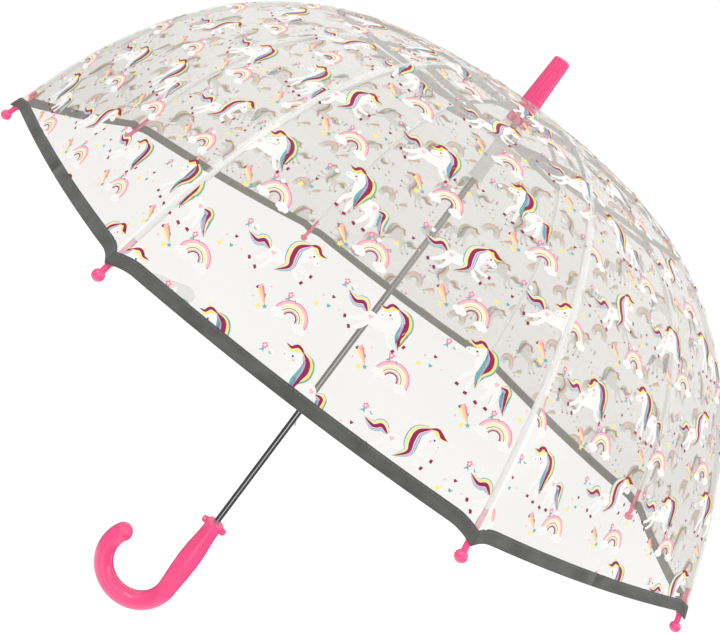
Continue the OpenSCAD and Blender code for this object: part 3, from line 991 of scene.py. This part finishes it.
def make_print(inks):
    """The print of all panels, each panel cut into the halves and stretches of its film."""
    colors = list(inks)
    for panel in range(1, RIBS + 1):
        bm = panel_print(panel, colors)
        faces = {}
        for face in bm.faces:
            middle = face.calc_center_median()
            segment = next(s for s in SEGMENTS if middle.y <= s.end)
            faces.setdefault((segment, 1 if middle.x < 0 else -1), []).append(face)
        for (segment, half), chosen in faces.items():
            k = panel if half > 0 else panel % RIBS + 1
            index = {}
            polygons = [[index.setdefault(v, len(index)) for v in face.verts] for face in chosen]
            slots = [face.material_index for face in chosen]
            places = np.array([tuple(v.co) for v in index])
            side = half * (1 - np.abs(places[:, 0]))
            at = film_points(k, places[:, 1], side, 0)
            normal = film_normals(k, places[:, 1], side, half)
            name = f"print_{segment.name}_{'left' if half > 0 else 'right'}_{k}"
            mesh = bpy.data.meshes.new(name)
            mesh.from_pydata((at + normal * places[:, 2:3]).tolist(), [], polygons)
            used = sorted(set(slots))
            piece = link_mesh(name, mesh, [inks[colors[i]] for i in used])
            for polygon, slot in zip(mesh.polygons, slots):
                polygon.material_index = used.index(slot)
                polygon.use_smooth = True
            place_canopy_piece(piece, segment, k, half)
        bm.free()


# ------------ hem tape, seams and strap

# Mean length of cloth between two points of the tape's section, for its texture coordinates
PROFILE_STEP = 1.4 * MM


def tape_profile():
    """The folded binding in section, as (place up from the hem, lift): its outer skin, from the
    inside of the canopy round the hem to the outside, and its inner skin back."""
    cloth, gap, edge = 0.5 * MM, 0.05 * MM, 0.12
    inside, outside = FILM_LIFT - FILM_T - gap, FILM_LIFT + gap
    middle, half = (inside + outside) / 2, (outside - inside) / 2
    crown = [(1.0, 0.0), (0.97, 0.04), (0.7, 0.0), (0.4, 0.04), (edge, 0.0)]
    turn = [pi * i / 8 for i in range(1, 8)]
    points = [(TAPE_W * s, inside - cloth - b * MM) for s, b in crown]
    points += [(0.9 * MM * (1 - sin(a)), middle - (half + cloth) * cos(a)) for a in turn]
    points += [(TAPE_W * s, outside + cloth + b * MM) for s, b in crown[::-1]]
    points += [(TAPE_W * s, outside) for s in (1, 0.5, edge)] + [(cloth, middle)]
    return points + [(TAPE_W * s, inside) for s in (edge, 0.5, 1)]


def swept_mesh(name, k, half, profile, sides):
    """A closed band that carries a section along the hem."""
    vertices = [tuple(film_points(k, 1 - y / HEM_RATE, side, lift))
                for side in sides for y, lift in profile]
    count = len(profile)
    faces = []
    for i in range(len(sides) - 1):
        for j in range(count):
            a, b = i * count + j, i * count + (j + 1) % count
            faces.append([a, b, b + count, a + count][::half])
    faces.append(list(range(count))[::-half])
    faces.append([(len(sides) - 1) * count + j for j in range(count)][::half])
    mesh = bpy.data.meshes.new(name)
    mesh.from_pydata(vertices, [], faces)
    for polygon in mesh.polygons:
        polygon.use_smooth = True
    across = sides * float(half_width(1.0)) + k * TAPE_UV_STEP
    set_uv(mesh, lambda v: (across[v // count], v % count * PROFILE_STEP))
    return mesh


def make_tape(tape, thread):
    """The hem's binding and its stitches, one piece of each for each rib and half."""
    last = SEGMENTS[-1]
    profile = tape_profile()
    steps = np.concatenate([np.linspace(0, CORNER_SHARE, 8)[:-1],
                            np.linspace(CORNER_SHARE, 1, 12)])
    for k in range(1, RIBS + 1):
        for half, word in HALVES:
            mesh = swept_mesh(f"tape_{word}_{k}", k, half, profile, steps * half)
            piece = link_mesh(mesh.name, mesh, [tape])
            fold(piece, last, k, half)
            if half > 0:
                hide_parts(f"hem_tape_{k}")
            stitches = make_stitches(f"stitches_{word}_{k}", k, half, thread)
            fold(stitches, last, k, half)


STITCH, STITCH_GAP, STITCH_R = 2.6 * MM, 1.0 * MM, 0.17 * MM
# Heights of the stitches' middles over the dome, outside and inside, and place across the tape
STITCH_LIFTS = (0.62 * MM, -FILM_T - 0.82 * MM)
STITCH_ROW = TAPE_W * 0.84
# Places along a stitch, and its thickness there
STITCH_FORM = ((0, 0.35), (0.15, 1), (0.85, 1), (1, 0.35))


def make_stitches(name, k, half, material):
    """A row of stitches near the tape's upper edge, on both faces."""
    width = float(half_width(1.0))
    bm = bmesh.new()
    count = int(width / (STITCH + STITCH_GAP))
    for lift in STITCH_LIFTS:
        for i in range(count):
            middle = (i + 0.5) / count
            ends = [middle - STITCH / width / 2, middle + STITCH / width / 2]
            rings = []
            for share, size in STITCH_FORM:
                side = (ends[0] + (ends[1] - ends[0]) * share) * half
                rings.append([])
                for a in (tau * corner / 6 for corner in range(6)):
                    y = STITCH_ROW + STITCH_R * size * cos(a)
                    at = film_points(k, 1 - y / HEM_RATE, side,
                                     lift + STITCH_R * size * sin(a))
                    rings[-1].append(bm.verts.new(tuple(at)))
            tube_sides(bm, rings)
            bm.faces.new(rings[0][::-1])
            bm.faces.new(rings[-1])
    return bmesh_piece(name, bm, material, lambda polygon: False)


def grid_sheet(name, grids, material):
    """A closed sheet between two grids of points, shaded smooth."""
    rows, wide = grids[0].shape[:2]
    bm = bmesh.new()
    layers = [[[bm.verts.new(tuple(p)) for p in row] for row in grid] for grid in grids]
    for layer in layers:
        for i in range(rows - 1):
            for j in range(wide - 1):
                bm.faces.new([layer[i][j], layer[i + 1][j], layer[i + 1][j + 1], layer[i][j + 1]])
    rim = grid_rim(rows, wide)
    for (a, b), (c, d) in zip(rim, rim[1:] + rim[:1]):
        bm.faces.new([layers[0][a][b], layers[0][c][d], layers[1][c][d], layers[1][a][b]])
    bmesh.ops.remove_doubles(bm, verts=bm.verts[:], dist=1e-6)
    piece = bmesh_piece(name, bm, material, lambda polygon: True)
    places = [v.co for v in piece.data.vertices]
    set_uv(piece.data, lambda v: (places[v].x, places[v].y + places[v].z))
    return piece


STRAP_RIB = 6
# Where the strap starts beside its rib, how far it goes on from there, and how far up
STRAP_FROM, STRAP_REACH, STRAP_RISE = 26 * MM, 28 * MM, 10 * MM
STRAP_W = 12 * MM
# Its width under the tape's edge, and its depth inside the dome's outside
STRAP_SEWN = 5 * MM
STRAP_DEPTH = 1.25 * MM
STRAP_RIPPLE = 0.5 * MM


def make_strap(material):
    """The closing strap: a short strip of film sewn inside the tape, with its free end loose."""
    along, across = np.meshgrid(np.linspace(0, 1, 14), np.linspace(-0.5, 0.5, 7), indexing="ij")
    length = math.hypot(STRAP_REACH, STRAP_RISE)
    heading = np.array([STRAP_REACH, STRAP_RISE]) / length
    # The free end is round
    tip = np.clip((along * length - (length - STRAP_W / 2)) / (STRAP_W / 2), 0, 1)
    across = across * STRAP_W * np.sqrt(1 - np.minimum(tip, 0.98) ** 2)
    right = STRAP_FROM + STRAP_REACH * along - heading[1] * across
    up = TAPE_W - STRAP_SEWN + STRAP_RISE * along + heading[0] * across
    ripple = (STRAP_RIPPLE * (1 + np.sin(along * 9.0 + across / MM * 0.3))
              * np.clip(along * 3 - 0.6, 0, 1))
    layers = [film_points(STRAP_RIB, 1 - up / HEM_RATE, right / half_width(1.0),
                          -STRAP_DEPTH - ripple - depth) for depth in (0, FILM_T)]
    piece = grid_sheet("closing_strap_film", layers, material)
    fold(piece, SEGMENTS[-1], STRAP_RIB, 1)
    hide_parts("closing_strap")


def make_washer(material):
    """The disc of film under the ferrule, a little puckered where it is pressed."""
    bore, depth = 3.4 * MM, 0.12 * MM
    r, turn = np.meshgrid(np.linspace(bore, WASHER_R, 9), np.linspace(0, tau, 65),
                          indexing="ij")
    pucker = depth * np.sin(turn * RIBS) * (r / WASHER_R) ** 2
    z = HEM_Z + DOME_RISE + FILM_LIFT / 2 + pucker
    top = np.stack([r * np.cos(turn), r * np.sin(turn), z], -1)
    piece = grid_sheet("crown_washer_film", [top, top - np.array([0, 0, FILM_T])], material)
    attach(piece, "root")
    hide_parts("crown_washer")


# Depth of a rib's middle inside the dome's outside
RIB_DEPTH = 3.2 * MM
SLEEVE_TOP = 1 - 19 * MM / HEM_RATE
# Half sizes of a sleeve, across the rib and out from it
SLEEVE_HALF = (1.75, 2.0)
# Places along the dome, and the sleeve's size there
SLEEVE_FORM = ((1.0, 1.0), (0.985, 1.0), (0.97, 0.98), (SLEEVE_TOP + 0.002, 0.94),
               (SLEEVE_TOP, 0.86))
SLEEVE_CORNERS = 20


def make_sleeves(material):
    """The part of each rib end's pink sleeve that runs up over the rib, inside the film."""
    for k in range(1, RIBS + 1):
        radial, side = rib_axes(k)
        bm = bmesh.new()
        rings = []
        for u, size in SLEEVE_FORM:
            heading = dome_heading(u)
            out = radial * -heading[1] + np.array([0, 0, 1]) * heading[0]
            centre = dome_curve(u)
            at = radial * centre[0] + np.array([0, 0, centre[1]]) - out * RIB_DEPTH
            turns = (tau * i / SLEEVE_CORNERS for i in range(SLEEVE_CORNERS))
            rings.append([bm.verts.new(tuple(
                at + side * SLEEVE_HALF[0] * MM * size * cos(a)
                + out * SLEEVE_HALF[1] * MM * size * sin(a))) for a in turns])
        tube_sides(bm, rings)
        bm.faces.new(rings[0])
        bm.faces.new(rings[-1][::-1])
        piece = bmesh_piece(f"rib_tip_sleeve_{k}", bm, material,
                            lambda polygon: len(polygon.vertices) == 4)
        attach(piece, f"outer_rib_{k}")


# ------------ CAD nodes that stay

def dress(node, material):
    """Gives a CAD node its finished material."""
    nodes[node].data.materials.clear()
    nodes[node].data.materials.append(material)


def finish_cad_nodes():
    """Dresses the CAD nodes that stay, and adds the sleeves of the rib ends."""
    pink = plastic("pink_plastic", PINK, 0.2, coat=0.6)
    white = plastic("white_plastic", WHITE_PLASTIC, 0.3)
    chrome = steel("plated_steel", PLATED, 0.14)
    grey = painted_steel("rib_steel", RIB_PAINT, 0.35)
    fibre = glass_fibre("glass_fibre", FIBRE)
    for node in ("handle", "ferrule", "top_notch"):
        dress(node, pink)
    for node in ("shaft", "notch_wire", "runner_wire", "top_catch", "bottom_catch"):
        dress(node, chrome)
    dress("runner", white)
    for k in range(1, RIBS + 1):
        for node, material in (("rib_tip", pink), ("inner_rib", grey), ("stretcher", grey),
                               ("outer_rib", fibre)):
            dress(f"{node}_{k}", material)
    make_sleeves(pink)


make_camera()
make_world()
make_stage()
finish_cad_nodes()
film = clear_film("clear_film", FILM_COLOR, FILM_ALPHA)
seam = clear_film("seam_film", SEAM_COLOR, SEAM_ALPHA)
make_washer(film)
make_strap(film)
make_film(film, seam)
# Every ink gets a painted glow, the white ink a stronger one
make_print({name: ink(f"ink_{name}", color, WHITE_INK_PAINTED_GLOW if name == "white" else INK_PAINTED_GLOW)
            for name, color in INKS.items()})
make_tape(woven_tape("woven_tape", TAPE_COLOR), thread("thread", THREAD_COLOR))
